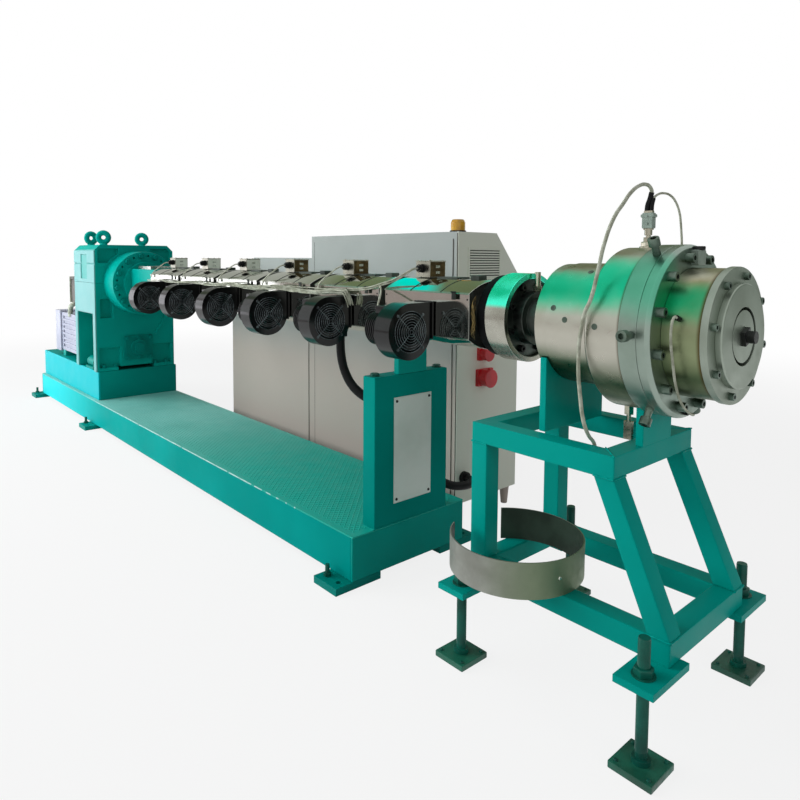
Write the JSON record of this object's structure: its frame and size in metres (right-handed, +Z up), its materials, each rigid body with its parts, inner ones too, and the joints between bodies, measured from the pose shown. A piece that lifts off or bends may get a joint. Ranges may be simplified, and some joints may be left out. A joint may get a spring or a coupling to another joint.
{
  "type": "plastic extruder",
  "caption": "Single-screw plastic extruder: teal base with gearbox drive, heated barrel in steel zone covers with side blowers, pipe die head on its own stand and a control console.",
  "frame": {"origin": "middle of the machine's floor area, on the floor", "axes": "+X along the barrel towards the die, +Y towards the console side, +Z up"},
  "size_m": [6.126, 1.308, 1.5254],
  "materials": {
    "teal_paint": "semi-gloss machine enamel",
    "deck_paint": "painted chequer plate, lightly worn",
    "pad_green": "dark green paint, scuffed",
    "motor_grey": "grey enamel",
    "motor_dark": "dark brown-grey enamel",
    "die_steel": "oiled turned steel with brown and green tints",
    "bright_steel": "turned or ground steel",
    "cast_aluminium": "as cast",
    "stainless": "polished stainless sheet",
    "black_paint": "satin black",
    "dark_steel": "blackened screws",
    "console_grey": "fine textured powder coat",
    "cover_grey": "grey sheet, satin",
    "red_plastic": "moulded red",
    "amber_plastic": "amber dome",
    "cable_black": "corrugated black conduit",
    "cable_pale": "pale braided sleeve"
  },
  "bodies": {
    "root": {"base_side_rails": "teal_paint", "base_cross_plates": "teal_paint", "anchor_feet": "teal_paint", "drive_plinth": "teal_paint", "gearbox_lower_housing": "teal_paint", "gearbox_upper_housing": "teal_paint", "bearing_housing": "teal_paint", "lifting_eyes": "teal_paint", "gearbox_front_cover": "teal_paint", "motor_bell": "teal_paint", "motor_feet": "teal_paint", "feed_section": "teal_paint", "support_post": "teal_paint", "saddles": "teal_paint", "stand_top_frame": "teal_paint", "stand_legs": "teal_paint", "stand_lower_rails": "teal_paint", "stand_brackets": "teal_paint", "deck_plate": "deck_paint", "stand_pads": "pad_green", "motor_body": "motor_grey", "motor_rear_cover": "motor_grey", "motor_terminal_box": "motor_dark", "die_rear_disc": "die_steel", "die_rear_body": "die_steel", "die_main_body": "die_steel", "clamp_flange_rear": "die_steel", "clamp_flange_front": "die_steel", "die_holder": "die_steel", "retaining_ring": "die_steel", "die_adapter": "die_steel", "hopper_flange": "bright_steel", "barrel": "bright_steel", "clamp_ring": "bright_steel", "die_bush": "bright_steel", "die_mandrel": "bright_steel", "melt_probes": "bright_steel", "oil_pump": "bright_steel", "heater_band": "bright_steel", "cast_heaters": "cast_aluminium", "zone_covers": "stainless", "junction_boxes": "stainless", "blower_housings": "black_paint", "blower_motors": "black_paint", "blower_grilles": "black_paint", "barrel_flange": "black_paint", "levelling_screws": "dark_steel", "console_body": "console_grey", "console_panels": "console_grey", "console_feet": "console_grey", "post_cover": "cover_grey", "machine_sockets": "red_plastic", "beacon": "amber_plastic", "conduit": "cable_black", "cable_glands": "cable_black", "wiring_bundle": "cable_pale", "zone_cables": "cable_pale", "die_lead_near": "cable_pale", "die_lead_far": "cable_pale", "probe_wire": "cable_pale"}
  },
  "joints": []
}
